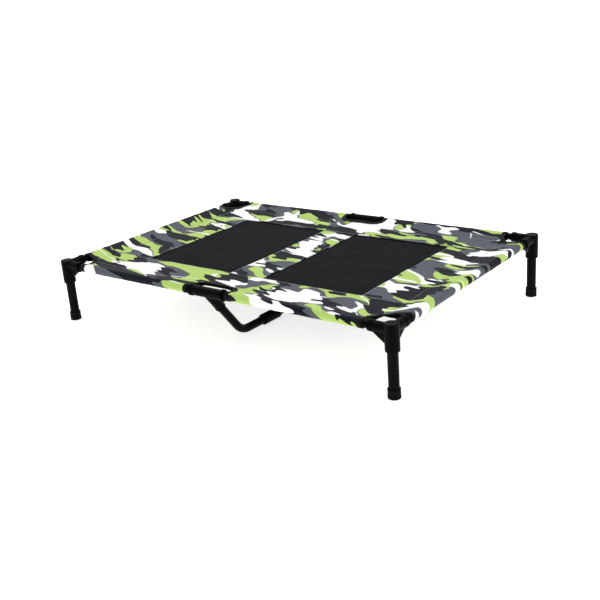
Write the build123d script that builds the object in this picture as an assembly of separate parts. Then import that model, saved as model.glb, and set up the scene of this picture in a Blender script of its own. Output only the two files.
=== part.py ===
from build123d import *
import math
import os

# Elevated pet cot: a fabric and mesh sleeping surface stretched over a tube frame on four legs.
# Units are millimetres.  X runs along the long side, Y from front (-) to rear (+), Z is up.
# The origin is on the floor, under the middle of the cot.

# ---------------------------------------------------------------- driving dimensions
HUB_SPACING_X = 1065.0        # corner fitting axis to corner fitting axis, long side
HUB_SPACING_Y = 725.0         # corner fitting axis to corner fitting axis, short side
COT_HEIGHT = 178.0            # floor to the top of the corner fittings

LEG_RADIUS = 12.7             # legs are 25.4 tube
RAIL_RADIUS = 9.5             # rails are 19 tube
BAR_RADIUS = 11.0             # the bent support bar is 22 tube
TUBE_WALL = 1.2
FIXED_CLEARANCE = 0.3         # air between two pieces that stay together
SLIDING_CLEARANCE = 0.05      # air between a leg and the socket it slides out of
BORE_OVERSHOOT = 1.0          # how far a bore is cut past the mouth it opens through
RAIL_BORE_RADIUS = RAIL_RADIUS + FIXED_CLEARANCE
BAR_BORE_RADIUS = BAR_RADIUS + FIXED_CLEARANCE

# corner fitting
HUB_RADIUS = 17.0
HUB_BOTTOM_Z = 111.0
HUB_TOP_EDGE = 1.6            # rounding of the top disc
HUB_MOUTH_CHAMFER = 2.5
SOCKET_RADIUS = 12.5
RIM_RADIUS = 14.0             # raised collar at a socket mouth
RIM_WIDTH = 12.0
RIM_EDGE = 0.8
RIM_GROOVE_DEPTH = 0.7
RIM_GROOVE_WIDTH = 1.2
RIM_GROOVE_INSET = 4.0        # socket mouth to the groove round its collar
SOCKET_REACH = 57.0           # hub axis to the socket mouth
SOCKET_STOP = 18.0            # hub axis to the end of the rail
LEG_TOP_Z = 143.0
WEB_THICKNESS = 9.0
WEB_REACH = 48.0
WEB_DROP_Z = 127.0            # where the web meets the hub
WEB_OVERLAP = 1.0             # how far the web's root runs into the hub

RAIL_AXIS_Z = 163.5

# foot cap
CAP_HEIGHT = 24.0
CAP_RADIUS = 15.6
CAP_TOP_RADIUS = 14.9
CAP_RIM_HEIGHT = 2.5
CAP_RIM_RADIUS = 15.4
CAP_FLOOR = 5.5
CAP_BOTTOM_EDGE = 3.0
CAP_BORE_RADIUS = LEG_RADIUS + FIXED_CLEARANCE

# centre fitting and the support bar it carries
CENTRE_HALF_LENGTH = 55.0
CENTRE_RADIUS = 13.3
CENTRE_RIM_RADIUS = 15.2
CENTRE_RIM_WIDTH = 7.0
BRANCH_RIM_RADIUS = 14.1
BRANCH_RIM_WIDTH = 5.0
CENTRE_STOP_HALF = 2.7        # half thickness of the wall the two rail halves stop against
BRANCH_ANGLE = 52.0           # degrees below horizontal, pointing inwards
BRANCH_REACH = 66.0           # rail axis to the branch mouth
BRANCH_STOP = 20.0            # rail axis to the bottom of the branch bore
BAR_AXIS_Z = 21.0
BAR_BEND_RADIUS = 55.0
BAR_JOINT_Y = 132.0           # where a bent bar meets the middle tube, inside the coupler
COUPLER_RADIUS = 15.0
COUPLER_NEAR_Y = 100.0
COUPLER_FAR_Y = 164.0
COUPLER_EDGE = 0.7

# fabric cover
FIELD_TOP_Z = 163.0
FIELD_THICKNESS = 1.6
SLEEVE_CLOTH = 1.3
SLEEVE_INNER_RADIUS = RAIL_BORE_RADIUS
SLEEVE_OUTER_RADIUS = SLEEVE_INNER_RADIUS + SLEEVE_CLOTH
HEM_INSET = 52.0              # rail axis to the stitch line that closes the sleeve
SLEEVE_VOID_INSET = 46.0      # rail axis to the end of the hollow inside the sleeve
SLEEVE_VOID_EDGE = 0.4        # height of the hollow where it ends
PANEL_GAP = 0.3
MESH_INNER_X = 54.0
MESH_OUTER_X = 356.0
MESH_HALF_Y = 220.0

# cut-outs in the cover and the tape that binds their edges
CORNER_CUT_X = 75.0
CORNER_CUT_Y = 71.0
CORNER_CUT_ROUND = 45.0
CENTRE_CUT_HALF_X = 64.0
CENTRE_CUT_DEPTH = 40.0
CENTRE_CUT_CORNER = 24.0
TAPE_WIDTH = 11.5
CUTTER_OVERSHOOT = 60.0       # how far a cutter runs past the sheet

HALF_X = HUB_SPACING_X / 2
HALF_Y = HUB_SPACING_Y / 2
CORNERS = {
    "front_left": (-1, -1),
    "front_right": (1, -1),
    "rear_left": (-1, 1),
    "rear_right": (1, 1),
}
SIDES_Y = {"front": -1, "rear": 1}
SIDES_X = {"left": -1, "right": 1}


# ---------------------------------------------------------------- small helpers
def rod(start, end, radius):
    """Solid round bar between two points."""
    start_point = Vector(*start)
    axis = Vector(*end) - start_point
    plane = Plane(origin=start_point, z_dir=axis)
    return plane * Cylinder(radius, axis.length, align=(Align.CENTER, Align.CENTER, Align.MIN))


def tube(start, end, radius, wall):
    """Hollow round tube between two points."""
    return rod(start, end, radius) - rod(start, end, radius - wall)


def block(low, high):
    """Box given by its low and high corners."""
    size = [high[i] - low[i] for i in range(3)]
    middle = [(high[i] + low[i]) / 2 for i in range(3)]
    return Pos(*middle) * Box(*size)


def mirror_to(solid, sign_x, sign_y):
    """A piece modelled in the front-left quarter, moved to the quarter with the given signs."""
    if sign_x > 0:
        solid = mirror(solid, about=Plane.YZ)
    if sign_y > 0:
        solid = mirror(solid, about=Plane.XZ)
    return solid


def save(node, shape):
    """Write one named piece."""
    shape.label = node
    export_step(shape, os.path.join("parts", node + ".step"))


# ---------------------------------------------------------------- frame
def corner_fitting():
    """Three-way moulded corner at the front left: hub, two rail sockets and two webs."""
    hub_x, hub_y = -HALF_X, -HALF_Y
    hub = rod((hub_x, hub_y, HUB_BOTTOM_Z), (hub_x, hub_y, COT_HEIGHT), HUB_RADIUS)
    hub = fillet(hub.edges().sort_by(Axis.Z)[-1], HUB_TOP_EDGE)
    hub = chamfer(hub.edges().sort_by(Axis.Z)[0], HUB_MOUTH_CHAMFER)
    body = hub
    bores = []
    for direction_x, direction_y in ((1, 0), (0, 1)):

        def along(distance, z=RAIL_AXIS_Z):
            return (hub_x + direction_x * distance, hub_y + direction_y * distance, z)

        body += rod(along(0), along(SOCKET_REACH), SOCKET_RADIUS)
        body += socket_collar(along)
        body += corner_web(hub_x, hub_y, direction_x, direction_y)
        bore_start = along(SOCKET_STOP - FIXED_CLEARANCE)
        bores.append(rod(bore_start, along(SOCKET_REACH + BORE_OVERSHOOT), RAIL_BORE_RADIUS))
    leg_bore = rod(
        (hub_x, hub_y, HUB_BOTTOM_Z - BORE_OVERSHOOT),
        (hub_x, hub_y, LEG_TOP_Z),
        LEG_RADIUS + SLIDING_CLEARANCE,
    )
    for bore in bores:
        body -= bore
    return body - leg_bore


def socket_collar(along):
    """Raised collar at a socket mouth, with one groove round it."""
    collar = rod(along(SOCKET_REACH - RIM_WIDTH), along(SOCKET_REACH), RIM_RADIUS)
    collar = chamfer(collar.edges().filter_by(GeomType.CIRCLE), RIM_EDGE)
    groove_start = along(SOCKET_REACH - RIM_GROOVE_INSET - RIM_GROOVE_WIDTH)
    groove_end = along(SOCKET_REACH - RIM_GROOVE_INSET)
    groove = rod(groove_start, groove_end, RIM_RADIUS + BORE_OVERSHOOT)
    groove -= rod(groove_start, groove_end, RIM_RADIUS - RIM_GROOVE_DEPTH)
    return collar - groove


def corner_web(hub_x, hub_y, direction_x, direction_y):
    """Triangular web between one rail socket and the hub."""
    socket_bottom_z = RAIL_AXIS_Z - SOCKET_RADIUS
    outline = [
        (0, RAIL_AXIS_Z),
        (WEB_REACH, RAIL_AXIS_Z),
        (WEB_REACH, socket_bottom_z),
        (HUB_RADIUS - WEB_OVERLAP, WEB_DROP_Z),
        (0, WEB_DROP_Z),
    ]
    plane = Plane(
        origin=(hub_x, hub_y, 0),
        x_dir=(direction_x, direction_y, 0),
        z_dir=(direction_y, -direction_x, 0),
    )
    sketch = plane * make_face(Polyline(*outline, close=True))
    return extrude(sketch, WEB_THICKNESS / 2, both=True)


def leg_tube(sign_x, sign_y):
    """One leg, from inside the foot cap to the stop in the corner fitting."""
    x, y = sign_x * HALF_X, sign_y * HALF_Y
    bottom_z = CAP_FLOOR + FIXED_CLEARANCE
    return tube((x, y, bottom_z), (x, y, LEG_TOP_Z), LEG_RADIUS, TUBE_WALL)


def foot_cap(sign_x, sign_y):
    """Slightly flared cup on the bottom of a leg, with a small rim at its top."""
    x, y = sign_x * HALF_X, sign_y * HALF_Y
    flare = Pos(x, y, 0) * Cone(
        CAP_RADIUS, CAP_TOP_RADIUS, CAP_HEIGHT, align=(Align.CENTER, Align.CENTER, Align.MIN)
    )
    flare = fillet(flare.edges().sort_by(Axis.Z)[0], CAP_BOTTOM_EDGE)
    rim = rod((x, y, CAP_HEIGHT - CAP_RIM_HEIGHT), (x, y, CAP_HEIGHT), CAP_RIM_RADIUS)
    bore = rod((x, y, CAP_FLOOR), (x, y, CAP_HEIGHT + BORE_OVERSHOOT), CAP_BORE_RADIUS)
    return flare + rim - bore


def long_rail(sign_x, sign_y):
    """Half of a long side, from the centre fitting to a corner fitting."""
    y = sign_y * HALF_Y
    inner_x = sign_x * (CENTRE_STOP_HALF + FIXED_CLEARANCE)
    outer_x = sign_x * (HALF_X - SOCKET_STOP)
    return tube((inner_x, y, RAIL_AXIS_Z), (outer_x, y, RAIL_AXIS_Z), RAIL_RADIUS, TUBE_WALL)


def side_rail(sign_x):
    """One-piece rail of a short side."""
    x = sign_x * HALF_X
    reach = HALF_Y - SOCKET_STOP
    return tube((x, -reach, RAIL_AXIS_Z), (x, reach, RAIL_AXIS_Z), RAIL_RADIUS, TUBE_WALL)


def branch_point(distance):
    """Point on the front branch axis, measured from the rail axis."""
    angle = math.radians(BRANCH_ANGLE)
    return (0, -HALF_Y + distance * math.cos(angle), RAIL_AXIS_Z - distance * math.sin(angle))


def centre_fitting():
    """T fitting in the middle of the front rail, with a branch that points down and inwards."""

    def along(x):
        return (x, -HALF_Y, RAIL_AXIS_Z)

    body = rod(along(-CENTRE_HALF_LENGTH), along(CENTRE_HALF_LENGTH), CENTRE_RADIUS)
    body += rod(branch_point(0), branch_point(BRANCH_REACH), CENTRE_RADIUS)
    branch_rim_start = branch_point(BRANCH_REACH - BRANCH_RIM_WIDTH)
    body += rod(branch_rim_start, branch_point(BRANCH_REACH), BRANCH_RIM_RADIUS)
    for sign in (-1, 1):
        mouth = sign * CENTRE_HALF_LENGTH
        bore_end = mouth + sign * BORE_OVERSHOOT
        body += rod(along(mouth - sign * CENTRE_RIM_WIDTH), along(mouth), CENTRE_RIM_RADIUS)
        body -= rod(along(sign * CENTRE_STOP_HALF), along(bore_end), RAIL_BORE_RADIUS)
    branch_bore_end = branch_point(BRANCH_REACH + BORE_OVERSHOOT)
    return body - rod(branch_point(BRANCH_STOP), branch_bore_end, BAR_BORE_RADIUS)


def support_bar():
    """Front bent tube: down out of the centre fitting, then level just above the floor."""
    drop = RAIL_AXIS_Z - BAR_AXIS_Z
    bend = branch_point(drop / math.sin(math.radians(BRANCH_ANGLE)))
    start = branch_point(BRANCH_STOP + FIXED_CLEARANCE)
    end = (0, -BAR_JOINT_Y - FIXED_CLEARANCE, BAR_AXIS_Z)
    path = FilletPolyline(start, bend, end, radius=BAR_BEND_RADIUS)
    section_plane = Plane(origin=start, z_dir=path % 0)
    section = Circle(BAR_RADIUS) - Circle(BAR_RADIUS - TUBE_WALL)
    return sweep(section_plane * section, path=path)


def support_bar_middle():
    """Straight tube between the two bent bars."""
    reach = BAR_JOINT_Y - FIXED_CLEARANCE
    return tube((0, -reach, BAR_AXIS_Z), (0, reach, BAR_AXIS_Z), BAR_RADIUS, TUBE_WALL)


def support_coupler():
    """Front sleeve that joins the bent bar to the middle tube."""

    def along(y):
        return (0, -y, BAR_AXIS_Z)

    sleeve = rod(along(COUPLER_FAR_Y), along(COUPLER_NEAR_Y), COUPLER_RADIUS)
    ends = sleeve.edges().filter_by(GeomType.CIRCLE)
    sleeve = chamfer(ends, COUPLER_EDGE)
    near_end = along(COUPLER_NEAR_Y - BORE_OVERSHOOT)
    far_end = along(COUPLER_FAR_Y + BORE_OVERSHOOT)
    return sleeve - rod(far_end, near_end, BAR_BORE_RADIUS)


# ---------------------------------------------------------------- fabric cover
def tangent_point(radius, target, side):
    """Where a line from the target touches a circle at the origin; side is 1 above, -1 below."""
    distance = math.hypot(*target)
    angle = math.atan2(target[1], target[0]) + side * math.acos(radius / distance)
    return (radius * math.cos(angle), radius * math.sin(angle))


def teardrop(radius, apex_inset, apex_thickness):
    """Section that is round at the rail and narrows to a thin edge on the field."""
    apex_height = FIELD_TOP_Z - FIELD_THICKNESS / 2 - RAIL_AXIS_Z
    apex_top = (apex_inset, apex_height + apex_thickness / 2)
    apex_bottom = (apex_inset, apex_height - apex_thickness / 2)
    upper = tangent_point(radius, apex_top, 1)
    lower = tangent_point(radius, apex_bottom, -1)
    outline = Polyline(lower, apex_bottom, apex_top, upper) + ThreePointArc(upper, (-radius, 0), lower)
    return make_face(outline.edges())


def along_rails(section):
    """The same section run along all four rails, each stopping inside the corner cut-outs."""
    long_length = HUB_SPACING_X - CORNER_CUT_X
    short_length = HUB_SPACING_Y - CORNER_CUT_Y
    solids = []
    for angle, length, distance in (
        (0, long_length, HALF_Y),
        (180, long_length, HALF_Y),
        (90, short_length, HALF_X),
        (270, short_length, HALF_X),
    ):
        plane = Plane(origin=(0, -distance, RAIL_AXIS_Z), x_dir=(0, 1, 0), z_dir=(1, 0, 0))
        solids.append(Rot(0, 0, angle) * extrude(plane * section, length / 2, both=True))
    return solids


def cover_envelope():
    """Outside of the whole cover before any cut-out: flat field and four filled sleeves."""
    field_x = HALF_X - HEM_INSET
    field_y = HALF_Y - HEM_INSET
    cover = block(
        (-field_x, -field_y, FIELD_TOP_Z - FIELD_THICKNESS),
        (field_x, field_y, FIELD_TOP_Z),
    )
    for solid in along_rails(teardrop(SLEEVE_OUTER_RADIUS, HEM_INSET, FIELD_THICKNESS)):
        cover += solid
    return cover


def sleeve_hollows():
    """Insides of the four sleeves, where the rails pass."""
    return along_rails(teardrop(SLEEVE_INNER_RADIUS, SLEEVE_VOID_INSET, SLEEVE_VOID_EDGE))


def hollow_out(solid, hollows):
    """Open the sleeves of one finished piece."""
    for hollow in hollows:
        solid -= hollow
    return solid


def corner_cutter(grow, sign_x, sign_y):
    """Vertical rounded cutter round one corner fitting."""
    outline = Rectangle(2 * (CORNER_CUT_X + grow), 2 * (CORNER_CUT_Y + grow))
    outline = fillet(outline.vertices(), CORNER_CUT_ROUND + grow)
    cutter = extrude(outline, COT_HEIGHT + CUTTER_OVERSHOOT, dir=(0, 0, 1))
    return Pos(sign_x * HALF_X, sign_y * HALF_Y, 0) * cutter


def centre_cutter(grow, sign_y):
    """Vertical rounded cutter round one centre fitting."""
    half_width = CENTRE_CUT_HALF_X + grow
    depth = CENTRE_CUT_DEPTH + grow
    outline = Rectangle(2 * half_width, depth + CUTTER_OVERSHOOT)
    outline = fillet(outline.vertices(), CENTRE_CUT_CORNER + grow)
    middle_y = -HALF_Y + (depth - CUTTER_OVERSHOOT) / 2
    cutter = Pos(0, middle_y, 0) * extrude(outline, COT_HEIGHT + CUTTER_OVERSHOOT, dir=(0, 0, 1))
    return mirror_to(cutter, -1, sign_y)


def panel_window(low_x, high_x, low_y, high_y):
    """Tall box that picks one sewn panel out of the cover."""
    return block((low_x, low_y, 0), (high_x, high_y, COT_HEIGHT + CUTTER_OVERSHOOT))


def fabric_panels(cover):
    """Split the cut cover into its seven sewn panels, named."""
    half_gap = PANEL_GAP / 2
    inner_x = MESH_INNER_X
    outer_x = MESH_OUTER_X
    seam_y = MESH_HALF_Y
    far_x = HALF_X + CUTTER_OVERSHOOT
    far_y = HALF_Y + CUTTER_OVERSHOOT
    low_y, high_y = -seam_y + half_gap, seam_y - half_gap
    windows = {
        "front_border": (-far_x, far_x, -far_y, -seam_y - half_gap),
        "rear_border": (-far_x, far_x, seam_y + half_gap, far_y),
        "left_border": (-far_x, -outer_x - half_gap, low_y, high_y),
        "right_border": (outer_x + half_gap, far_x, low_y, high_y),
        "centre_strip": (-inner_x + half_gap, inner_x - half_gap, low_y, high_y),
        "mesh_panel_left": (-outer_x + half_gap, -inner_x - half_gap, low_y, high_y),
        "mesh_panel_right": (inner_x + half_gap, outer_x - half_gap, low_y, high_y),
    }
    return {node: cover & panel_window(*limits) for node, limits in windows.items()}


def build_frame():
    """Write every hard piece of the frame."""
    fitting = corner_fitting()
    for corner, (sign_x, sign_y) in CORNERS.items():
        save("corner_fitting_" + corner, mirror_to(fitting, sign_x, sign_y))
        save("leg_tube_" + corner, leg_tube(sign_x, sign_y))
        save("foot_cap_" + corner, foot_cap(sign_x, sign_y))
        save("long_rail_" + corner, long_rail(sign_x, sign_y))
    for side, sign_x in SIDES_X.items():
        save("side_rail_" + side, side_rail(sign_x))
    for side, sign_y in SIDES_Y.items():
        save("centre_fitting_" + side, mirror_to(centre_fitting(), -1, sign_y))
        save("support_bar_" + side, mirror_to(support_bar(), -1, sign_y))
        save("support_coupler_" + side, mirror_to(support_coupler(), -1, sign_y))
    save("support_bar_middle", support_bar_middle())


def build_cover():
    """Write the sewn panels and the binding tape round each cut-out."""
    envelope = cover_envelope()
    hollows = sleeve_hollows()
    cutters = []
    for corner, signs in CORNERS.items():
        cutters.append(("corner_binding_" + corner, corner_cutter, signs))
    for side, sign_y in SIDES_Y.items():
        cutters.append(("centre_binding_" + side, centre_cutter, (sign_y,)))
    cut = envelope
    for node, cutter, signs in cutters:
        tape = (envelope & cutter(TAPE_WIDTH, *signs)) - cutter(0, *signs)
        save(node, hollow_out(tape, hollows))
        cut -= cutter(TAPE_WIDTH + PANEL_GAP, *signs)
    for node, panel in fabric_panels(cut).items():
        save(node, hollow_out(panel, hollows))


os.makedirs("parts", exist_ok=True)
build_frame()
build_cover()
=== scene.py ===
"""Looks for the raised pet cot: cloth cover, mesh panels, tape, stitching and finishes.

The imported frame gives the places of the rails, fittings and seams. The cloth's own sizes, which the
frame doesn't carry, are named below. Metres: X along the long side, Y to the rear, Z up.
"""
import math
import random

import bpy
import numpy as np
from mathutils import Matrix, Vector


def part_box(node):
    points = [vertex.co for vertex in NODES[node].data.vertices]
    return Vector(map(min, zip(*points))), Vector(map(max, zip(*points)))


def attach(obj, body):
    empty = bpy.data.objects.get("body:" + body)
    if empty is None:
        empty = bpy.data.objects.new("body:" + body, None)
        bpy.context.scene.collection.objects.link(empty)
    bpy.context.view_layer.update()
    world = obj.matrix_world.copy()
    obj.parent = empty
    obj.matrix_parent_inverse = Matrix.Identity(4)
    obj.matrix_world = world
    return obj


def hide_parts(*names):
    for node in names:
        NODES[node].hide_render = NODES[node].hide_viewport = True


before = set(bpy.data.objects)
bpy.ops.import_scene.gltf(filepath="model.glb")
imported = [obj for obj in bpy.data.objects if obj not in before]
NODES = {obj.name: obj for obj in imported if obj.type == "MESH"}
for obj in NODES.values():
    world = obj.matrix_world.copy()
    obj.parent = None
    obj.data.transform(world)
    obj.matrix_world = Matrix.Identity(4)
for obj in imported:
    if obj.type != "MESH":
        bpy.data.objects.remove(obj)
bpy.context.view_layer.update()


def middle(node):
    """Middle of a CAD node's box."""
    low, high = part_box(node)
    return (low + high) / 2


# ---------------------------------------------------------------- places read from the frame
HUB_X = middle("side_rail_right").x
HUB_Y = middle("long_rail_rear_right").y
RAIL_Z = middle("side_rail_right").z
FIELD_Z = middle("mesh_panel_left").z
MESH_INNER_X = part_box("mesh_panel_right")[0].x
MESH_OUTER_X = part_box("mesh_panel_right")[1].x
SEAM_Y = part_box("mesh_panel_right")[1].y
MAIN_BODY = "frame"

# ---------------------------------------------------------------- cloth sizes, in metres
HEM_INSET = 0.052          # rail axis to the stitch line that closes a sleeve
SLEEVE_RADIUS = 0.0105     # middle of the cloth, round the rail
CLOTH_THICKNESS = 0.0010
WELD_DISTANCE = 0.00002    # edge points of neighbouring grids this close become one
UNDER_PLY_GAP = 0.0016     # how far the folded-under ply lies below the field at the hem
TAPE_THICKNESS = 0.0024
TAPE_WIDTH = 0.0115
CLOTH_EDGE = 0.0015        # the cloth stops this far inside the tape's edge
CORNER_CUT_X = 0.072       # hub axis to the end of the corner cut-out, along a long rail
CORNER_CUT_Y = 0.069       # the same along a side rail
CORNER_CUT_ROUND = 0.062
CORNER_MIDDLE_X = CORNER_CUT_X - CORNER_CUT_ROUND
CORNER_MIDDLE_Y = CORNER_CUT_Y - CORNER_CUT_ROUND
CENTRE_CUT_HALF_X = 0.064
CENTRE_CUT_DEPTH = 0.040
CENTRE_CUT_CORNER = 0.024
CENTRE_FLAT_HALF = CENTRE_CUT_HALF_X - CENTRE_CUT_CORNER
CENTRE_CORNER_DEPTH = CENTRE_CUT_DEPTH - CENTRE_CUT_CORNER
LAP = 0.005                # how far the long borders lie over the panels between them
LAP_LIFT = 0.00105
LAP_RAMP_START = 0.0065    # the border rises onto the panels between these two distances
LAP_RAMP_END = 0.0015      # outside the seam
MESH_UNDERLAP = 0.008      # how far the mesh runs under the printed cloth
MESH_DROP = 0.0012
MESH_THICKNESS = 0.0007
HEM_FADE_START = 0.012     # inboard of this the sleeve starts to share the field's relief

# relief of the stretched cloth, in metres
SAG = 0.0018
SAG_SHAPE = 0.8            # below 1 the sag is flatter in the middle and steeper at the edges
CENTRE_LIFT = 0.0065       # the fittings hold the bound edges of the cut-outs up
CORNER_LIFT = 0.0045
LIFT_FADE = 0.020
WAVE_COUNT = 14
WAVE_SEED = 11
WAVE_LENGTHS = (0.05, 0.19)
WAVE_STEEPNESS = 0.0016    # height of a wave as a share of its length
CORNER_FOLD_HEIGHT = 0.0009
CORNER_FOLD_REACH = 0.75   # in sizes of the cut-out, beyond its edge
CORNER_FOLD_COUNT = 15     # folds in a full turn
CENTRE_FOLD_HEIGHT = 0.0008
CENTRE_FOLD_REACH = 0.055
CENTRE_FOLD_COUNT = 9
PUCKER_HEIGHT = 0.00022    # gathers beside a stitch line
PUCKER_REACH = 0.009
PUCKER_PITCH = 0.0135
SLEEVE_GATHER = 0.00035    # slow waves along the outside of a sleeve

# stitching, in metres
STITCH_PITCH = 0.0052
STITCH_LENGTH = 0.0040
THREAD_RADIUS = 0.00033
HEM_STITCH_INSET = 0.0015  # hem to its stitch row
SEAM_STITCH_INSET = 0.0028    # edge of a long border to its stitch row
MESH_STITCH_GAP = 0.0035   # edge of a mesh panel's window to its stitch row
SEAM_ROW_INSET = 0.02      # hub axis to the end of a seam row, before it is cut at the hem

# yarns, in metres
WAVE_PERIOD = 0.314        # length of one wave texture period at scale 1
CLOTH_YARN = 0.0011
MESH_YARN = 0.0024
TAPE_RIB = 0.0015

SIDES = (-1, 1)
LONG_SIDES = {"front": -1, "rear": 1}
SHORT_SIDES = {"left": -1, "right": 1}
CORNERS = {
    "front_left": (-1, -1),
    "front_right": (1, -1),
    "rear_left": (-1, 1),
    "rear_right": (1, 1),
}


# ---------------------------------------------------------------- sleeve section
def sleeve_section():
    """Dense section of a sleeve as arrays (along the cloth, inboard of the rail axis, height).

    It starts at the hem on top, goes over and round the rail, and ends at the hem underneath.
    """
    top = np.array([HEM_INSET, FIELD_Z - RAIL_Z])
    under = np.array([HEM_INSET, FIELD_Z - RAIL_Z - UNDER_PLY_GAP])
    turns = []
    for point, side in ((top, 1), (under, -1)):
        reach = math.acos(SLEEVE_RADIUS / np.hypot(*point))
        turns.append(math.atan2(point[1], point[0]) + side * reach)
    start, end = turns[0], turns[1] + 2 * math.pi
    angles = np.linspace(start, end, 121)
    arc = SLEEVE_RADIUS * np.column_stack([np.cos(angles), np.sin(angles)])
    share = np.linspace(0, 1, 61)[:, None]
    upper = top + (arc[0] - top) * share
    lower = arc[-1] + (under - arc[-1]) * share
    points = np.vstack([upper[:-1], arc, lower[1:]])
    steps = np.hypot(*np.diff(points, axis=0).T)
    along = np.concatenate([[0], np.cumsum(steps)])
    return along, points[:, 0], points[:, 1]


SECTION_S, SECTION_D, SECTION_H = sleeve_section()
SLEEVE_LENGTH = float(SECTION_S[-1])
OUTERMOST = int(np.argmin(SECTION_D))


def section_at(s):
    """(distance inboard of the rail axis, height over it) at a distance along the sleeve cloth."""
    return np.interp(s, SECTION_S, SECTION_D), np.interp(s, SECTION_S, SECTION_H)


def along_at(d, ply):
    """Distance along the sleeve cloth of the point d inboard of the axis, on the top or under ply."""
    if ply == "top":
        return np.interp(-d, -SECTION_D[:OUTERMOST + 1], SECTION_S[:OUTERMOST + 1])
    return np.interp(d, SECTION_D[OUTERMOST:], SECTION_S[OUTERMOST:])


def smooth_step(low, high, value):
    """0 below low, 1 above high, smooth between."""
    t = np.clip((np.asarray(value, float) - low) / (high - low), 0, 1)
    return t * t * (3 - 2 * t)


# ---------------------------------------------------------------- relief of the stretched cloth
def soft_waves():
    """A few long random waves that stand for the uneven pull of the cloth."""
    draw = random.Random(WAVE_SEED)
    waves = []
    for _ in range(WAVE_COUNT):
        length = draw.uniform(*WAVE_LENGTHS)
        turn = draw.uniform(0, math.pi)
        size = 2 * math.pi / length
        phase = draw.uniform(0, 6.28)
        waves.append((size * math.cos(turn), size * math.sin(turn), phase, length))
    return waves


WAVES = soft_waves()


def corner_folds(x, y):
    """Shallow folds that fan out from the four corner cut-outs."""
    across = (HUB_X - np.abs(x)) / CORNER_CUT_X
    deep = (HUB_Y - np.abs(y)) / CORNER_CUT_Y
    away = np.hypot(across, deep)
    turn = np.arctan2(deep, across)
    fade = np.exp(-np.clip(away - 1.0, 0, None) / CORNER_FOLD_REACH)
    phase = 1.3 * np.sign(x) + 0.7 * np.sign(y)
    return CORNER_FOLD_HEIGHT * fade * np.cos(CORNER_FOLD_COUNT * turn + phase)


def centre_folds(x, y):
    """Shallow folds that fan out from the corners of the two centre cut-outs."""
    total = 0
    for side in SIDES:
        across = x - side * CENTRE_CUT_HALF_X
        deep = HUB_Y - np.abs(y) - CENTRE_CUT_DEPTH * 0.5
        away = np.hypot(across, deep)
        turn = np.arctan2(deep, across * side)
        fade = np.exp(-away / CENTRE_FOLD_REACH)
        total = total + fade * np.cos(CENTRE_FOLD_COUNT * turn + side) * CENTRE_FOLD_HEIGHT
    return total


def edge_lift(x, y):
    """Rise of the cloth beside the cut-outs, where it is pulled over the fittings."""
    across, deep = HUB_X - np.abs(x), HUB_Y - np.abs(y)
    from_corner = np.hypot(across - CORNER_MIDDLE_X, deep - CORNER_MIDDLE_Y) - CORNER_CUT_ROUND
    corner = CORNER_LIFT * np.exp(-(from_corner / LIFT_FADE) ** 2)
    along = np.exp(-(x / CENTRE_CUT_HALF_X) ** 4)
    centre = CENTRE_LIFT * along * np.exp(-((deep - CENTRE_CUT_DEPTH) / LIFT_FADE) ** 2)
    return corner + centre


def relief(x, y):
    """Height of the cloth above its flat place."""
    x, y = np.asarray(x, float), np.asarray(y, float)
    span_x = np.clip(1 - (x / (HUB_X - HEM_INSET)) ** 2, 0, 1)
    span_y = np.clip(1 - (y / (HUB_Y - HEM_INSET)) ** 2, 0, 1)
    height = -SAG * span_x ** SAG_SHAPE * span_y ** SAG_SHAPE
    for wave_x, wave_y, phase, length in WAVES:
        size = WAVE_STEEPNESS * length
        height = height + size * np.sin(wave_x * x + wave_y * y + phase)
    return height + corner_folds(x, y) + centre_folds(x, y) + edge_lift(x, y)


def pucker(along, away):
    """Small gathers on both sides of a stitch line."""
    fade = np.exp(-np.abs(away) / PUCKER_REACH)
    return PUCKER_HEIGHT * fade * np.cos(2 * math.pi * np.asarray(along) / PUCKER_PITCH)


def lap_lift(y):
    """Step up of a long border where it lies over the panels between the borders."""
    return LAP_LIFT * smooth_step(-SEAM_Y - LAP_RAMP_START, -SEAM_Y - LAP_RAMP_END, -np.abs(y))


# ---------------------------------------------------------------- points on the cover
def field_points(x, y, lift=0.0):
    """Points on the flat field."""
    x, y = np.broadcast_arrays(np.asarray(x, float), np.asarray(y, float))
    z = FIELD_Z + relief(x, y) + lift
    z = z + pucker(x, np.abs(y) - SEAM_Y) + pucker(y, np.abs(x) - MESH_OUTER_X)
    return np.stack([x, y, z], -1)


def sleeve_points(run, s, wall, side, swell=0.0):
    """Points on a sleeve: run is the place along the rail, s the distance along the cloth.

    wall is "y" for the front and rear sleeves and "x" for the side ones; side is -1 or 1.
    swell makes the part round the rail wider by that much.
    """
    run, s = np.broadcast_arrays(np.asarray(run, float), np.asarray(s, float))
    d, h = section_at(s)
    out = np.hypot(d * (d < SLEEVE_RADIUS), h)
    grow = 1 + np.asarray(swell) / np.maximum(out, SLEEVE_RADIUS)
    near = np.clip(1 - np.abs(d) / (2 * SLEEVE_RADIUS), 0, 1)
    scale = 1 + (grow - 1) * near
    d_now, h_now = d * scale, h * scale
    hem_share = smooth_step(HEM_FADE_START, HEM_INSET, d)
    axis = HUB_Y if wall == "y" else HUB_X
    place = side * (axis - d_now)
    still_place = side * (axis - d)
    x, y = (run, place) if wall == "y" else (place, run)
    still_x, still_y = (run, still_place) if wall == "y" else (still_place, run)
    z = RAIL_Z + h_now + relief(still_x, still_y) * hem_share
    z = z + pucker(run, HEM_INSET - d) * hem_share
    gather = SLEEVE_GATHER * np.sin(run * 95 + side) * np.sin(run * 31 + 2) * (1 - hem_share)
    return np.stack([x, y, z + gather * np.where(h < 0, -1, 1)], -1)


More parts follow.
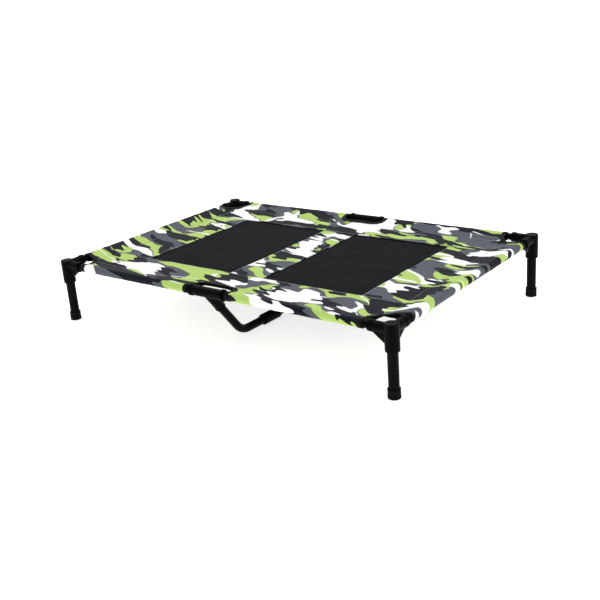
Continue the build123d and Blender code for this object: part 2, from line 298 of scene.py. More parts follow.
def sleeve_flat(run, s, wall, side):
    """Place of the same points on the flat cut cloth."""
    run, s = np.broadcast_arrays(np.asarray(run, float), np.asarray(s, float))
    out = side * ((HUB_Y if wall == "y" else HUB_X) - HEM_INSET + s)
    return np.stack([run, out] if wall == "y" else [out, run], -1)


# ---------------------------------------------------------------- cut-out outlines
def corner_gap(d, wall, grow):
    """Hub axis to the corner cut-out's edge along a sleeve, at d inboard of that rail's axis."""
    along, away = (CORNER_CUT_X, CORNER_CUT_Y) if wall == "y" else (CORNER_CUT_Y, CORNER_CUT_X)
    corner = CORNER_CUT_ROUND + grow
    into = np.clip(d - (away - CORNER_CUT_ROUND), 0, corner)
    return along - CORNER_CUT_ROUND + np.sqrt(np.clip(corner ** 2 - into ** 2, 0, None))


def centre_gap(d, grow):
    """Half width of a centre cut-out at d inboard of the rail axis."""
    corner = CENTRE_CUT_CORNER + grow
    into = np.clip(d - CENTRE_CORNER_DEPTH, 0, corner)
    return CENTRE_FLAT_HALF + np.sqrt(np.clip(corner ** 2 - into ** 2, 0, None))


# ---------------------------------------------------------------- meshes
class Sheet:
    """Collects grids of points into one mesh, with each point's place on the flat cloth."""

    def __init__(self, print_shift=(0.0, 0.0)):
        self.print_shift = np.array(print_shift)
        self.points, self.flats, self.faces = [], [], []
        self.count = 0
        self.flat_area = 0.0

    def grid(self, points, flats, flip=False):
        """Add a grid: arrays of shape (rows, columns, 3) and (rows, columns, 2)."""
        rows, columns = points.shape[:2]
        index = self.count + np.arange(rows * columns).reshape(rows, columns)
        quads = np.stack([index[:-1, :-1], index[:-1, 1:], index[1:, 1:], index[1:, :-1]], -1)
        quads = quads.reshape(-1, 4)
        self.faces.append(quads[:, ::-1] if flip else quads)
        self.points.append(points.reshape(-1, 3))
        self.flats.append(flats.reshape(-1, 2))
        self.count += rows * columns
        first = flats[1:, 1:] - flats[:-1, :-1]
        second = flats[1:, :-1] - flats[:-1, 1:]
        cross = first[..., 0] * second[..., 1] - first[..., 1] * second[..., 0]
        self.flat_area += float(np.abs(cross).sum() / 2)

    def build(self, name, material, thickness, slot):
        """Make the object: welded, solidified and riding on the main body."""
        points, flats = np.vstack(self.points), np.vstack(self.flats)
        mesh = bpy.data.meshes.new(name)
        mesh.from_pydata(points.tolist(), [], np.vstack(self.faces).tolist())
        layer = mesh.attributes.new("cloth", "FLOAT_VECTOR", "POINT")
        values = np.column_stack([flats + self.print_shift, np.zeros(len(flats))])
        layer.data.foreach_set("vector", values.ravel().astype(np.float32))
        obj = finish_mesh(name, mesh, material)
        weld = obj.modifiers.new("weld", "WELD")
        weld.merge_threshold = WELD_DISTANCE
        solid = obj.modifiers.new("thickness", "SOLIDIFY")
        solid.thickness = thickness
        solid.offset = 0
        return obj


def finish_mesh(name, mesh, material):
    """Link a mesh as a smooth-shaded piece on the main body."""
    mesh.validate()
    mesh.polygons.foreach_set("use_smooth", [True] * len(mesh.polygons))
    mesh.materials.append(material)
    obj = bpy.data.objects.new(name, mesh)
    bpy.context.scene.collection.objects.link(obj)
    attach(obj, MAIN_BODY)
    return obj


BRIDGE_PLACES = (HEM_INSET, 0.0493, 0.0458)
ROWS_BEFORE_END = (0, 0.0006, 0.0022, 0.005, 0.009, 0.014, 0.020)


def section_rows():
    """Distances along the sleeve cloth used as grid rows, finer near the centre cut-out's end."""
    end = CENTRE_CUT_DEPTH + CLOTH_EDGE
    ply = np.concatenate([BRIDGE_PLACES, end - np.array(ROWS_BEFORE_END)])
    top = along_at(ply, "top")
    under = along_at(ply, "under")[::-1]
    middle_rows = np.linspace(top[-1], under[0], 40)[1:-1]
    return np.concatenate([top, middle_rows, under])


ROWS = section_rows()
BRIDGE_ROWS = len(BRIDGE_PLACES) + 1   # rows from the hem to the end of a centre cut-out
TOP_BRIDGE = ROWS[:BRIDGE_ROWS]
UNDER_BRIDGE = ROWS[-BRIDGE_ROWS:]
HEM_GAP_X = float(corner_gap(HEM_INSET, "y", CLOTH_EDGE))
HEM_GAP_Y = float(corner_gap(HEM_INSET, "x", CLOTH_EDGE))
BRIDGE_HALF = float(centre_gap(CENTRE_CUT_DEPTH + CLOTH_EDGE, CLOTH_EDGE))
HALF_COLUMNS = 90
BRIDGE_COLUMNS = 18
CORNER_ROWS = 6
BORDER_ROWS = 16


def long_border(side):
    """Front (-1) or rear (1) border: field, long sleeve in two halves and the side sleeve ends."""
    sheet = Sheet(print_shift=(0.31 * side, 0.17))
    d, _ = section_at(ROWS)
    for half in SIDES:
        start = half * centre_gap(d, CLOTH_EDGE)
        end = half * (HUB_X - corner_gap(d, "y", CLOTH_EDGE))
        share = np.linspace(0, 1, HALF_COLUMNS)[None, :]
        run = start[:, None] + (end - start)[:, None] * share
        points = sleeve_points(run, ROWS[:, None], "y", side)
        sheet.grid(points, sleeve_flat(run, ROWS[:, None], "y", side), flip=half * side > 0)
    bridge = np.linspace(-BRIDGE_HALF, BRIDGE_HALF, BRIDGE_COLUMNS)[None, :]
    for rows in (TOP_BRIDGE, UNDER_BRIDGE):
        points = sleeve_points(bridge, rows[:, None], "y", side)
        sheet.grid(points, sleeve_flat(bridge, rows[:, None], "y", side), flip=side > 0)
    border_field(sheet, side)
    for half in SIDES:
        side_sleeve_end(sheet, side, half)
    return sheet


def border_rows():
    """|y| of the field rows of a long border, from its hem to past the seam."""
    beside_cut = np.linspace(HUB_Y - HEM_INSET, HUB_Y - HEM_GAP_Y, CORNER_ROWS)
    rest = np.linspace(HUB_Y - HEM_GAP_Y, SEAM_Y - LAP, BORDER_ROWS)
    return np.concatenate([beside_cut, rest[1:]])


def border_field(sheet, side):
    """Flat part of a long border."""
    rows = border_rows()
    gap = corner_gap(HUB_Y - rows, "y", CLOTH_EDGE)
    reach = HUB_X - np.maximum(gap, HEM_INSET)
    y = side * rows[:, None]
    share = np.linspace(0, 1, HALF_COLUMNS)[None, :]
    lift = lap_lift(y)
    for half in SIDES:
        x = half * (BRIDGE_HALF + (reach[:, None] - BRIDGE_HALF) * share)
        flat = np.stack(np.broadcast_arrays(x, y), -1)
        sheet.grid(field_points(x, y, lift), flat, flip=half * side < 0)
    x = np.linspace(-BRIDGE_HALF, BRIDGE_HALF, BRIDGE_COLUMNS)[None, :]
    flat = np.stack(np.broadcast_arrays(x, y), -1)
    sheet.grid(field_points(x, y, lift), flat, flip=side < 0)


def side_sleeve_end(sheet, side, half):
    """The short stretch of side sleeve that belongs to a long border."""
    d, _ = section_at(ROWS)
    start = HUB_Y - corner_gap(d, "x", CLOTH_EDGE)
    end = SEAM_Y - LAP
    share = np.linspace(0, 1, BORDER_ROWS)[None, :]
    run = side * (start[:, None] + (end - start)[:, None] * share)
    swell = lap_lift(run)
    points = sleeve_points(run, ROWS[:, None], "x", half, swell)
    points[..., 2] += swell * smooth_step(HEM_FADE_START, HEM_INSET, d)[:, None]
    sheet.grid(points, sleeve_flat(run, ROWS[:, None], "x", half), flip=half * side < 0)


def side_border(half):
    """Left (-1) or right (1) border: the flat part and its sleeve."""
    sheet = Sheet(print_shift=(0.05, 0.83 * half))
    run = np.linspace(-SEAM_Y, SEAM_Y, 90)[None, :]
    points = sleeve_points(run, ROWS[:, None], "x", half)
    sheet.grid(points, sleeve_flat(run, ROWS[:, None], "x", half), flip=half > 0)
    x = half * np.linspace(HUB_X - HEM_INSET, MESH_OUTER_X, 22)[:, None]
    flat = np.stack(np.broadcast_arrays(x, run), -1)
    sheet.grid(field_points(x, run), flat, flip=half > 0)
    return sheet


def flat_panel(low_x, high_x, half_y, columns, rows, drop=0.0):
    """Plain panel of the field."""
    sheet = Sheet()
    x = np.linspace(low_x, high_x, columns)[None, :]
    y = np.linspace(-half_y, half_y, rows)[:, None]
    flat = np.stack(np.broadcast_arrays(x, y), -1)
    sheet.grid(field_points(x, y, -drop), flat)
    return sheet


# ---------------------------------------------------------------- binding tape
def corner_tape_path(grow, sign_x, sign_y):
    """Points along a corner cut-out, grow outside its edge: long sleeve, field, side sleeve."""
    s = np.linspace(SLEEVE_LENGTH, 0, 70)
    d, _ = section_at(s)
    run = sign_x * (HUB_X - corner_gap(d, "y", grow))
    first = sleeve_points(run, s, "y", sign_y)
    corner = CORNER_CUT_ROUND + grow
    start = math.asin((HEM_INSET - CORNER_MIDDLE_Y) / corner)
    end = math.acos((HEM_INSET - CORNER_MIDDLE_X) / corner)
    turn = np.linspace(start, end, 14)[1:-1]
    x = sign_x * (HUB_X - CORNER_MIDDLE_X - corner * np.cos(turn))
    y = sign_y * (HUB_Y - CORNER_MIDDLE_Y - corner * np.sin(turn))
    field = field_points(x, y)
    run = sign_y * (HUB_Y - corner_gap(d, "x", grow))
    last = sleeve_points(run, s, "x", sign_x)[::-1]
    return np.vstack([first, field, last])


def centre_tape_path(grow, side):
    """Closed loop of points round a centre cut-out, grow outside its edge, on both plies."""
    corner = CENTRE_CUT_CORNER + grow
    turn = np.linspace(math.pi / 2, 0, 16)
    arc_x = CENTRE_FLAT_HALF + corner * np.cos(turn)
    arc_d = CENTRE_CORNER_DEPTH + corner * np.sin(turn)
    top_s = along_at(arc_d, "top")
    under_s = along_at(arc_d, "under")
    wrap_s = np.linspace(top_s[-1], under_s[-1], 40)[1:-1]
    wrap_x = np.full(len(wrap_s), CENTRE_FLAT_HALF + corner)
    x = np.concatenate([arc_x, wrap_x, arc_x[::-1]])
    s = np.concatenate([top_s, wrap_s, under_s[::-1]])
    straight = np.linspace(CENTRE_FLAT_HALF, -CENTRE_FLAT_HALF, 18)[1:-1]
    x = np.concatenate([x, straight, -x[::-1], -straight])
    under_straight = np.full(len(straight), under_s[0])
    top_straight = np.full(len(straight), top_s[0])
    s = np.concatenate([s, under_straight, s[::-1], top_straight])
    x, s = np.append(x, x[0]), np.append(s, s[0])
    return sleeve_points(x, s, "y", side)


def tape_sheet(path, flip):
    """Tape strip from its path function, its rows closer together near the cut edge."""
    sheet = Sheet()
    grows = np.array([0, 0.0008, 0.004, 0.0075, TAPE_WIDTH])
    points = np.stack([path(grow) for grow in grows])
    steps = np.linalg.norm(np.diff(points[0], axis=0), axis=1)
    along = np.concatenate([[0], np.cumsum(steps)])
    flats = np.stack(np.broadcast_arrays(along[None, :], grows[:, None]), -1)
    sheet.grid(points, flats, flip)
    return sheet


# ---------------------------------------------------------------- stitching
def resample(points, pitch):
    """Points about pitch apart along a line of points, and the line's heading at each."""
    steps = np.linalg.norm(np.diff(points, axis=0), axis=1)
    along = np.concatenate([[0], np.cumsum(steps)])
    count = max(2, int(along[-1] / pitch))
    places = (np.arange(count) + 0.5) * along[-1] / count

    def at(distances):
        return np.stack([np.interp(distances, along, points[:, i]) for i in range(3)], -1)

    heading = at(places + pitch / 4) - at(places - pitch / 4)
    heading /= np.linalg.norm(heading, axis=1)[:, None]
    return at(places), heading


def stitch_shape():
    """One stitch: a short arched thread, pointed into the cloth at both ends."""
    sides, rings = 6, 5
    points = []
    for ring in range(rings):
        share = 2 * ring / (rings - 1) - 1
        thick = 1.0 if abs(share) < 0.9 else 0.45
        for k in range(sides):
            turn = 2 * math.pi * k / sides
            height = math.sin(turn) * thick + 0.9 * (1 - share * share)
            points.append((share, math.cos(turn) * thick, height))
    faces = []
    for ring in range(rings - 1):
        for k in range(sides):
            near, far = ring * sides, (ring + 1) * sides
            step = (k + 1) % sides
            faces.append((near + k, near + step, far + step, far + k))
    faces.append(tuple(range(sides))[::-1])
    faces.append(tuple(range((rings - 1) * sides, rings * sides)))
    return np.array(points), faces


def sew(name, lines, material):
    """Rows of stitches that lie on the cloth along the given lines of points."""
    shape, shape_faces = stitch_shape()
    points, faces, count = [], [], 0
    for line in lines:
        places, heading = resample(line, STITCH_PITCH)
        across = np.cross([0.0, 0.0, 1.0], heading)
        across /= np.linalg.norm(across, axis=1)[:, None]
        up = np.cross(heading, across)
        for place, ahead, beside, above in zip(places, heading, across, up):
            lengthwise = ahead * STITCH_LENGTH / 2
            basis = np.array([lengthwise, beside * THREAD_RADIUS, above * THREAD_RADIUS])
            points.append(shape @ basis + place)
            faces.extend(tuple(count + i for i in face) for face in shape_faces)
            count += len(shape)
    mesh = bpy.data.meshes.new(name)
    mesh.from_pydata(np.vstack(points).tolist(), [], faces)
    return finish_mesh(name, mesh, material)


def stitch_row(x, y, lift=0.0):
    """Line of points on the upper face of the cloth, for one row of stitches."""
    return field_points(x, y, lift) + np.array([0, 0, CLOTH_THICKNESS / 2])


def cover_stitch_lines():
    """Light stitch rows: hems, seams and the edges of the mesh panels."""
    lines = []
    reach_x = HUB_X - HEM_GAP_X - TAPE_WIDTH
    reach_y = HUB_Y - HEM_GAP_Y - TAPE_WIDTH
    for side in SIDES:
        x = np.linspace(-reach_x, reach_x, 400)
        lines.append(stitch_row(x, side * (HUB_Y - HEM_INSET - HEM_STITCH_INSET)))
        y = np.linspace(-reach_y, reach_y, 300)
        hem_x = side * (HUB_X - HEM_INSET - HEM_STITCH_INSET)
        lines.append(stitch_row(hem_x, y, lap_lift(y)))
        x = np.linspace(-(HUB_X - SEAM_ROW_INSET), HUB_X - SEAM_ROW_INSET, 500)
        x = x[np.abs(x) <= HUB_X - HEM_INSET]
        lines.append(stitch_row(x, side * (SEAM_Y - LAP + SEAM_STITCH_INSET), LAP_LIFT))
        y = np.linspace(-SEAM_Y + LAP, SEAM_Y - LAP, 260)
        for edge in (MESH_OUTER_X + MESH_STITCH_GAP, MESH_INNER_X - MESH_STITCH_GAP):
            lines.append(stitch_row(side * edge, y))
    return lines


# ---------------------------------------------------------------- shader helper
class Shader:
    """Writes a material's nodes: each call adds one node and returns its output."""

    def __init__(self, name):
        self.material = bpy.data.materials.new(name)
        self.material.use_nodes = True
        self.tree = self.material.node_tree
        self.surface = self.tree.nodes["Principled BSDF"]

    def node(self, kind, out=0, inputs=None, **settings):
        """A new node of the given kind; inputs are values or other nodes' outputs."""
        made = self.tree.nodes.new(kind)
        for key, value in settings.items():
            setattr(made, key, value)
        for key, value in (inputs or {}).items():
            self.feed(made.inputs[key], value)
        return made.outputs[out]

    def feed(self, socket, value):
        """Link an output to the socket, or set the socket's plain value."""
        if isinstance(value, bpy.types.NodeSocket):
            self.tree.links.new(value, socket)
        else:
            socket.default_value = value

    def math(self, operation, first, second=0.0):
        inputs = {0: first, 1: second}
        return self.node("ShaderNodeMath", inputs=inputs, operation=operation)

    def vector_math(self, operation, first, second, third=(0.0, 0.0, 0.0)):
        inputs = {0: first, 1: second, 2: third}
        return self.node("ShaderNodeVectorMath", inputs=inputs, operation=operation)

    def noise(self, vector, scale, detail, roughness, out="Fac"):
        inputs = {"Vector": vector, "Scale": scale, "Detail": detail, "Roughness": roughness}
        return self.node("ShaderNodeTexNoise", out=out, inputs=inputs)

    def wave(self, vector, pitch, direction):
        """Straight bands across the given direction, one to each pitch."""
        inputs = {"Vector": vector, "Scale": WAVE_PERIOD / pitch}
        return self.node("ShaderNodeTexWave", "Fac", inputs, bands_direction=direction)

    def ramp(self, value, low, high, low_value=0.0, high_value=1.0):
        """low_value where value is low, high_value where it is high, straight between."""
        inputs = {
            "Value": value,
            "From Min": low,
            "From Max": high,
            "To Min": low_value,
            "To Max": high_value,
        }
        return self.node("ShaderNodeMapRange", inputs=inputs)

    def mix(self, share, first, second):
        """Colour between first (share 0) and second (share 1)."""
        made = self.tree.nodes.new("ShaderNodeMix")
        made.data_type = "RGBA"
        self.feed(made.inputs["Factor"], share)
        self.feed(made.inputs["A"], colour(first))
        self.feed(made.inputs["B"], colour(second))
        return made.outputs["Result"]

    def scaled(self, vector, scale, offset=(0, 0, 0), turn=0.0):
        inputs = {
            "Vector": vector,
            "Location": offset,
            "Rotation": (0, 0, turn),
            "Scale": scale,
        }
        return self.node("ShaderNodeMapping", inputs=inputs)

    def bump(self, height, strength, distance, normal=None):
        inputs = {"Height": height, "Strength": strength, "Distance": distance}
        if normal is not None:
            inputs["Normal"] = normal
        return self.node("ShaderNodeBump", inputs=inputs)

    def set(self, **values):
        """Feed the surface's inputs, named with _ for a space, and return the material."""
        for key, value in values.items():
            self.feed(self.surface.inputs[key.replace("_", " ")], value)
        return self.material


def colour(value):
    """A plain (r, g, b) gets an alpha; a socket stays as it is."""
    if isinstance(value, tuple) and len(value) == 3:
        return (*value, 1.0)
    return value


# ---------------------------------------------------------------- materials
WHITE_CLOTH = (0.89, 0.90, 0.89)
LIME_CLOTH = (0.425, 0.585, 0.155)
GREY_CLOTH = (0.088, 0.096, 0.118)
OLIVE_CLOTH = (0.105, 0.120, 0.075)
NAVY_CLOTH = (0.0050, 0.0065, 0.0130)
# painted shade for the gaps between the mesh's yarns, then the yarns' own colour
MESH_GAP_SHADE_TO_YARN = ((0.0038, 0.0046, 0.0056), (0.0086, 0.0098, 0.0114))
# painted shade for the grooves between the tape's ribs, then the ribs' own colour
TAPE_GROOVE_SHADE_TO_RIB = ((0.0022, 0.0024, 0.0032), (0.0085, 0.0090, 0.0110))
THREAD_SHADES = ((0.42, 0.43, 0.45), (0.68, 0.69, 0.71))
PLASTIC_SHADES = ((0.0006, 0.0008, 0.0009), (0.0022, 0.0027, 0.0028))
PLASTIC_SCUFF = (0.0070, 0.0078, 0.0080)
STEEL_SHADES = ((0.0012, 0.0016, 0.0015), (0.0032, 0.0038, 0.0037))
RUBBER_SHADES = ((0.0012, 0.0014, 0.0013), (0.0030, 0.0033, 0.0031))
FLOOR_SHADES = ((0.88, 0.88, 0.88), (0.90, 0.90, 0.90))

PRINT_TURN = 0.30           # radians between the print and the cloth's long edge
PRINT_EDGE = 0.004          # softness of a patch's edge, in noise level
LIME_LIFT = (0.0035, 0.0025, 0.0)  # shift of the olive edge behind a lime patch
# how far each colour's patches are squeezed, and the noise level above which it is printed
GREY_PATCHES = ((6.5, 12.0, 1.0), 0.470)
LIME_PATCHES = ((7.5, 13.0, 1.0), 0.528)
OLIVE_PATCHES = ((7.5, 13.0, 1.0), 0.523)
NAVY_PATCHES = ((8.5, 18.0, 1.0), 0.534)


def bend(shader, place, stretch, reach):
    """Move the cloth coordinates by smooth noise of the given stretch and reach."""
    noise = shader.noise(shader.scaled(place, stretch), 1.0, 0.0, 0.5, out="Color")
    centred = shader.vector_math("SUBTRACT", noise, (0.5, 0.5, 0.5))
    return shader.vector_math("MULTIPLY_ADD", centred, reach, place)


def printed_patches(shader, bent, stretch, level):
    """1 inside the patches of one printing colour, 0 outside, with a crisp edge."""
    value = shader.noise(shader.scaled(bent, stretch), 1.0, 0.6, 0.4)
    return shader.ramp(value, level - PRINT_EDGE, level + PRINT_EDGE)


def tapered_slashes(shader, bent):
    """Thin white gaps in the print that run out to points."""
    value = shader.noise(shader.scaled(bent, (4.5, 13.0, 1.0), (4.4, 9.1, 0.0)), 1.0, 0.0, 0.5)
    off_ridge = shader.math("ABSOLUTE", shader.math("SUBTRACT", value, 0.5))
    where = shader.noise(shader.scaled(bent, (7.0, 11.0, 1.0), (8.2, 1.7, 0.0)), 1.0, 0.0, 0.5)
    width = shader.ramp(where, 0.52, 0.66, 0.0, 0.026)
    inside = shader.math("SUBTRACT", width, off_ridge)
    return shader.ramp(inside, 0.0, PRINT_EDGE)


def camo_colour(shader, place):
    """The print: white ground, then grey, lime with an olive edge, white gaps and near-black."""
    turned = shader.scaled(place, (1.0, 1.0, 1.0), turn=PRINT_TURN)
    loose = bend(shader, turned, (7.0, 9.0, 1.0), (0.10, 0.06, 0.0))
    grey_place = bend(shader, loose, (16.0, 40.0, 1.0), (0.075, 0.016, 0.0))
    lime_place = bend(shader, loose, (17.0, 31.0, 1.0), (0.050, 0.018, 0.0))
    navy_place = bend(shader, loose, (17.0, 58.0, 1.0), (0.110, 0.012, 0.0))
    olive_place = shader.vector_math("ADD", lime_place, LIME_LIFT)
    grey = printed_patches(shader, grey_place, *GREY_PATCHES)
    olive = printed_patches(shader, olive_place, *OLIVE_PATCHES)
    lime = printed_patches(shader, lime_place, *LIME_PATCHES)
    navy = printed_patches(shader, navy_place, *NAVY_PATCHES)
    printed = shader.mix(grey, WHITE_CLOTH, GREY_CLOTH)
    printed = shader.mix(olive, printed, OLIVE_CLOTH)
    printed = shader.mix(lime, printed, LIME_CLOTH)
    printed = shader.mix(tapered_slashes(shader, lime_place), printed, WHITE_CLOTH)
    return shader.mix(navy, printed, NAVY_CLOTH)


def weave_height(shader, place, pitch):
    """Over-and-under height of a plain weave with the given yarn pitch."""
    warp = shader.wave(place, pitch, "X")
    weft = shader.wave(place, pitch, "Y")
    return shader.math("MULTIPLY", warp, weft)


def camo_material():
    """Printed plain-weave polyester."""
    shader = Shader("camo_cloth")
    place = shader.node("ShaderNodeAttribute", out="Vector", attribute_name="cloth")
    printed = camo_colour(shader, place)
    mottle = shader.noise(place, 260.0, 2.0, 0.6)
    shade = shader.ramp(mottle, 0.3, 0.7, 0.93, 1.03)
    tinted = shader.node(
        "ShaderNodeVectorMath", inputs={0: printed, "Scale": shade}, operation="SCALE"
    )
    weave = weave_height(shader, place, CLOTH_YARN)
    crease = shader.noise(shader.scaled(place, (18.0, 30.0, 1.0)), 1.0, 3.0, 0.55)
    normal = shader.bump(crease, 0.35, 0.0016)
    normal = shader.bump(weave, 0.35, 0.00012, normal)
    rough = shader.ramp(mottle, 0.3, 0.7, 0.62, 0.74)
    return shader.set(
        Base_Color=tinted,
        Roughness=rough,
        Normal=normal,
        Sheen_Weight=0.02,
        Sheen_Roughness=0.45,
        Specular_IOR_Level=0.08,
    )


def mesh_material():
    """Coated open weave, near-black, with painted shade in the gaps between its yarns."""
    shader = Shader("mesh_cloth")
    place = shader.node("ShaderNodeAttribute", out="Vector", attribute_name="cloth")
    yarns = weave_height(shader, place, MESH_YARN)
    streaks = shader.noise(shader.scaled(place, (90.0, 700.0, 1.0)), 1.0, 2.0, 0.6)
    patches = shader.noise(place, 6.0, 2.0, 0.5)
    # painted shade: the low places of the weave, the gaps between the yarns, are coloured darker; the
    # streaks and patches are the mesh's own random tone
    lit = shader.math("MULTIPLY", yarns, shader.ramp(streaks, 0.3, 0.7, 0.75, 1.15))
    tone_and_gap_shade = shader.math("MULTIPLY", lit, shader.ramp(patches, 0.3, 0.7, 0.9, 1.1))
    return shader.set(
        Base_Color=shader.mix(tone_and_gap_shade, *MESH_GAP_SHADE_TO_YARN),
        Roughness=shader.ramp(streaks, 0.3, 0.7, 0.55, 0.68),
        Normal=shader.bump(yarns, 0.6, 0.0003),
        Specular_IOR_Level=0.02,
    )


def tape_material():
    """Ribbed black tape, with painted shade in the grooves between the ribs."""
    shader = Shader("binding_tape")
    place = shader.node("ShaderNodeAttribute", out="Vector", attribute_name="cloth")
    ribs = shader.wave(shader.scaled(place, (1.0, 1.0, 1.0), turn=0.5), TAPE_RIB, "X")
    fuzz = shader.noise(place, 900.0, 2.0, 0.6)
    # painted shade: the grooves between the ribs are coloured darker; the fuzz is the tape's own
    # random tone
    weave = shader.math("MULTIPLY", ribs, fuzz)
    return shader.set(
        Base_Color=shader.mix(weave, *TAPE_GROOVE_SHADE_TO_RIB),
        Roughness=shader.ramp(fuzz, 0.3, 0.7, 0.6, 0.8),
        Normal=shader.bump(ribs, 0.4, 0.0002),
        Sheen_Weight=0.03,
        Specular_IOR_Level=0.06,
    )


def thread_material():
    """Light sewing thread."""
    shader = Shader("light_thread")
    place = shader.node("ShaderNodeTexCoord", out="Object")
    fibres = shader.noise(place, 1500.0, 3.0, 0.6)
    return shader.set(
        Base_Color=shader.mix(shader.ramp(fibres, 0.35, 0.65), *THREAD_SHADES),
        Roughness=0.7,
        Normal=shader.bump(fibres, 0.3, 0.0001),
        Sheen_Weight=0.1,
    )


def plastic_material():
    """Satin moulded plastic with a few paler scuffs."""
    shader = Shader("fitting_plastic")
    place = shader.node("ShaderNodeTexCoord", out="Object")
    grain = shader.noise(place, 1400.0, 3.0, 0.6)
    clouds = shader.noise(place, 22.0, 3.0, 0.6)
    scuffs = shader.noise(shader.scaled(place, (60.0, 60.0, 260.0)), 1.0, 4.0, 0.7)
    base = shader.mix(clouds, *PLASTIC_SHADES)
    worn = shader.ramp(scuffs, 0.60, 0.75, 0.0, 0.30)
    base = shader.mix(worn, base, PLASTIC_SCUFF)
    soft_edge = shader.node("ShaderNodeBevel", inputs={"Radius": 0.0016})
    normal = shader.bump(grain, 0.18, 0.00012, soft_edge)
    return shader.set(
        Base_Color=base,
        Roughness=shader.ramp(clouds, 0.3, 0.7, 0.36, 0.48),
        Normal=normal,
        Specular_IOR_Level=0.03,
    )


def steel_material():
    """Black powder coat with a slight orange peel."""
    shader = Shader("tube_steel")
    place = shader.node("ShaderNodeTexCoord", out="Object")
    peel = shader.noise(place, 700.0, 2.0, 0.5)
    clouds = shader.noise(place, 14.0, 3.0, 0.6)
    return shader.set(
        Base_Color=shader.mix(clouds, *STEEL_SHADES),
        Roughness=shader.ramp(clouds, 0.3, 0.7, 0.30, 0.42),
        Normal=shader.bump(peel, 0.22, 0.00015),
        Specular_IOR_Level=0.03,
    )


def rubber_material():
    """Matte rubber of the foot caps."""
    shader = Shader("foot_rubber")
    place = shader.node("ShaderNodeTexCoord", out="Object")
    grain = shader.noise(place, 1100.0, 3.0, 0.6)
    clouds = shader.noise(place, 30.0, 2.0, 0.5)
    soft_edge = shader.node("ShaderNodeBevel", inputs={"Radius": 0.0012})
    return shader.set(
        Base_Color=shader.mix(clouds, *RUBBER_SHADES),
        Roughness=shader.ramp(grain, 0.3, 0.7, 0.58, 0.72),
        Normal=shader.bump(grain, 0.3, 0.0002, soft_edge),
        Specular_IOR_Level=0.06,
    )


def floor_material():
    """Pale studio floor, lit from below."""
    shader = Shader("studio_floor")
    place = shader.node("ShaderNodeTexCoord", out="Object")
    clouds = shader.noise(place, 0.6, 2.0, 0.5)
    base = shader.mix(clouds, *FLOOR_SHADES)
    return shader.set(
        Base_Color=base,
        Roughness=0.85,
        Specular_IOR_Level=0.2,
        Emission_Color=base,
        Emission_Strength=FLOOR_GLOW,
    )


# ---------------------------------------------------------------- building
def dress_hard_parts():
    """Give every carried-over CAD node its material."""
    plastic, steel, rubber = plastic_material(), steel_material(), rubber_material()
    by_prefix = {
        "corner_fitting": plastic,
        "centre_fitting": plastic,
        "support_coupler": plastic,
        "leg_tube": steel,
        "long_rail": steel,
        "side_rail": steel,
        "support_bar": steel,
        "foot_cap": rubber,
    }
    for name, obj in NODES.items():
        for prefix, material in by_prefix.items():
            if name.startswith(prefix):
                obj.data.materials.clear()
                obj.data.materials.append(material)


def build_tapes(tape):
    """Binding tape round the six cut-outs."""
    made = []
    for corner, (sign_x, sign_y) in CORNERS.items():
        sheet = tape_sheet(lambda grow: corner_tape_path(grow, sign_x, sign_y), sign_x * sign_y > 0)
        obj = sheet.build("corner_tape_" + corner, tape, TAPE_THICKNESS, "binding_tape")
        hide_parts("corner_binding_" + corner)
        made.append(obj)
    for name, side in LONG_SIDES.items():
        sheet = tape_sheet(lambda grow: centre_tape_path(grow, side), side > 0)
        obj = sheet.build("centre_tape_" + name, tape, TAPE_THICKNESS, "binding_tape")
        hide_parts("centre_binding_" + name)
        made.append(obj)
    return made


def build_long_borders(camo):
    """Front and rear borders."""
    for name, side in LONG_SIDES.items():
        sheet = long_border(side)
        obj = sheet.build(name + "_border_cloth", camo, CLOTH_THICKNESS, "camo_cloth")
        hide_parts(name + "_border")


def build_side_borders(camo):
    """Left and right borders."""
    for name, half in SHORT_SIDES.items():
        sheet = side_border(half)
        obj = sheet.build(name + "_border_cloth", camo, CLOTH_THICKNESS, "camo_cloth")
        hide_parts(name + "_border")


def build_centre_strip(camo):
    """Printed strip between the two mesh panels."""
    strip = flat_panel(-MESH_INNER_X, MESH_INNER_X, SEAM_Y, 18, 90)
    obj = strip.build("centre_strip_cloth", camo, CLOTH_THICKNESS, "camo_cloth")
    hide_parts("centre_strip")


def build_mesh_panels(mesh):
    """The two dark panels; they run a little way under the print all round."""
    near, far = MESH_INNER_X - MESH_UNDERLAP, MESH_OUTER_X + MESH_UNDERLAP
    half_y = SEAM_Y + MESH_UNDERLAP
    for name, half in SHORT_SIDES.items():
        low, high = sorted((half * near, half * far))
        panel = flat_panel(low, high, half_y, 60, 80, MESH_DROP)
        obj = panel.build("mesh_panel_%s_weave" % name, mesh, MESH_THICKNESS, "mesh_cloth")
        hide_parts("mesh_panel_" + name)


def build_cover():
    """Printed cloth, mesh, tape and stitching."""
    camo, mesh, tape = camo_material(), mesh_material(), tape_material()
    tapes = build_tapes(tape)
    build_long_borders(camo)
    build_side_borders(camo)
    build_centre_strip(camo)
    build_mesh_panels(mesh)
    sew("cover_stitching", cover_stitch_lines(), thread_material())


# ---------------------------------------------------------------- camera, light and floor
CAMERA_PLACE = (1.5147, -1.9109, 0.9067)
CAMERA_YAW = math.radians(38.36)
CAMERA_PITCH = math.radians(19.94)
CAMERA_ROLL = math.radians(-4.35)
CAMERA_LENS = 55.26
SENSOR_WIDTH = 36.0
SKY_STRENGTH = 0.40
WALL_TOP = 0.28             # height on the unit sky sphere where the white walls end
CEILING_START = 0.60
LAMPS = {                   # towards, spread in degrees, strength
    "overhead": ((-0.25, 0.35, 1.0), 75.0, 2.05),
    "side": ((1.0, 0.2, 0.9), 40.0, 0.35),
}
FLOOR_HALF = 150.0          # so wide that its edge is out of every view
FLOOR_GLOW = 0.78           # the floor is lit from below, which keeps its shadows faint


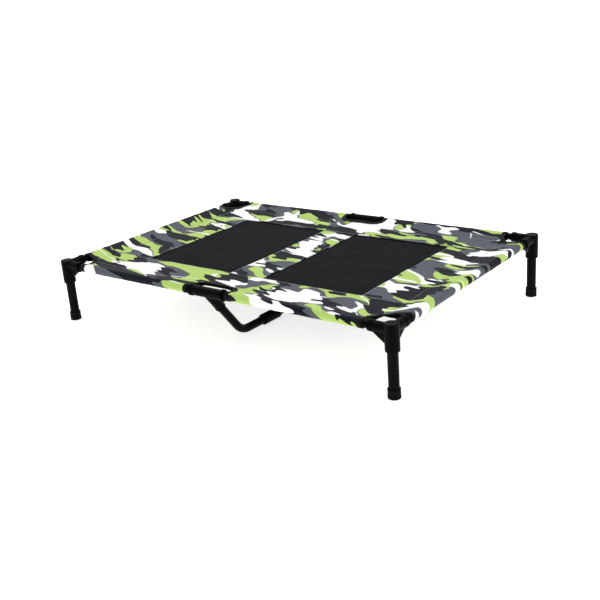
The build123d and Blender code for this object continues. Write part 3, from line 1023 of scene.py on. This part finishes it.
def build_camera():
    """Camera at the viewing angle of the reference."""
    ahead = np.array([
        -math.sin(CAMERA_YAW) * math.cos(CAMERA_PITCH),
        math.cos(CAMERA_YAW) * math.cos(CAMERA_PITCH),
        -math.sin(CAMERA_PITCH),
    ])
    level = np.array([math.cos(CAMERA_YAW), math.sin(CAMERA_YAW), 0])
    upright = np.cross(level, ahead)
    right = level * math.cos(CAMERA_ROLL) + upright * math.sin(CAMERA_ROLL)
    up = -level * math.sin(CAMERA_ROLL) + upright * math.cos(CAMERA_ROLL)
    data = bpy.data.cameras.new("camera")
    data.lens = CAMERA_LENS
    data.sensor_width = SENSOR_WIDTH
    data.clip_end = 1000
    camera = bpy.data.objects.new("camera", data)
    bpy.context.scene.collection.objects.link(camera)
    columns = zip(right, up, -ahead, CAMERA_PLACE)
    camera.matrix_world = Matrix([list(row) for row in columns] + [[0, 0, 0, 1]])
    bpy.context.scene.camera = camera


def soft_sun(name, towards, spread, strength):
    """Very soft light from one part of the sky, like a large lit panel far away."""
    data = bpy.data.lights.new(name, "SUN")
    data.energy = strength
    data.angle = math.radians(spread)
    lamp = bpy.data.objects.new(name, data)
    bpy.context.scene.collection.objects.link(lamp)
    back = np.array(towards) / np.linalg.norm(towards)
    side = np.cross([0, 1.0, 0], back)
    side /= np.linalg.norm(side)
    up = np.cross(back, side)
    rows = [list(row) + [0] for row in zip(side, up, back)]
    lamp.matrix_world = Matrix(rows + [[0, 0, 0, 1]])


def studio_sky():
    """White walls low down that give way to a dimmer ceiling."""
    world = bpy.data.worlds.new("studio")
    world.use_nodes = True
    nodes, links = world.node_tree.nodes, world.node_tree.links
    place = nodes.new("ShaderNodeTexCoord")
    parts = nodes.new("ShaderNodeSeparateXYZ")
    fade = nodes.new("ShaderNodeMapRange")
    fade.inputs["From Min"].default_value = WALL_TOP
    fade.inputs["From Max"].default_value = CEILING_START
    fade.inputs["To Min"].default_value = 1.0
    fade.inputs["To Max"].default_value = SKY_STRENGTH
    links.new(place.outputs["Generated"], parts.inputs[0])
    links.new(parts.outputs["Z"], fade.inputs["Value"])
    links.new(fade.outputs["Result"], nodes["Background"].inputs["Strength"])
    nodes["Background"].inputs["Color"].default_value = (1.0, 1.0, 1.0, 1.0)
    return world


def build_studio():
    """Pale floor, even sky and two soft lamps."""
    mesh = bpy.data.meshes.new("studio_floor")
    turns = ((-1, -1), (1, -1), (1, 1), (-1, 1))
    corners = [(x * FLOOR_HALF, y * FLOOR_HALF, 0) for x, y in turns]
    mesh.from_pydata(corners, [], [(0, 1, 2, 3)])
    mesh.materials.append(floor_material())
    floor = bpy.data.objects.new("studio_floor", mesh)
    bpy.context.scene.collection.objects.link(floor)
    bpy.context.scene.world = studio_sky()
    for name, (towards, spread, strength) in LAMPS.items():
        soft_sun(name, towards, spread, strength)
    bpy.context.scene.view_settings.view_transform = "Standard"


dress_hard_parts()
build_cover()
build_camera()
build_studio()
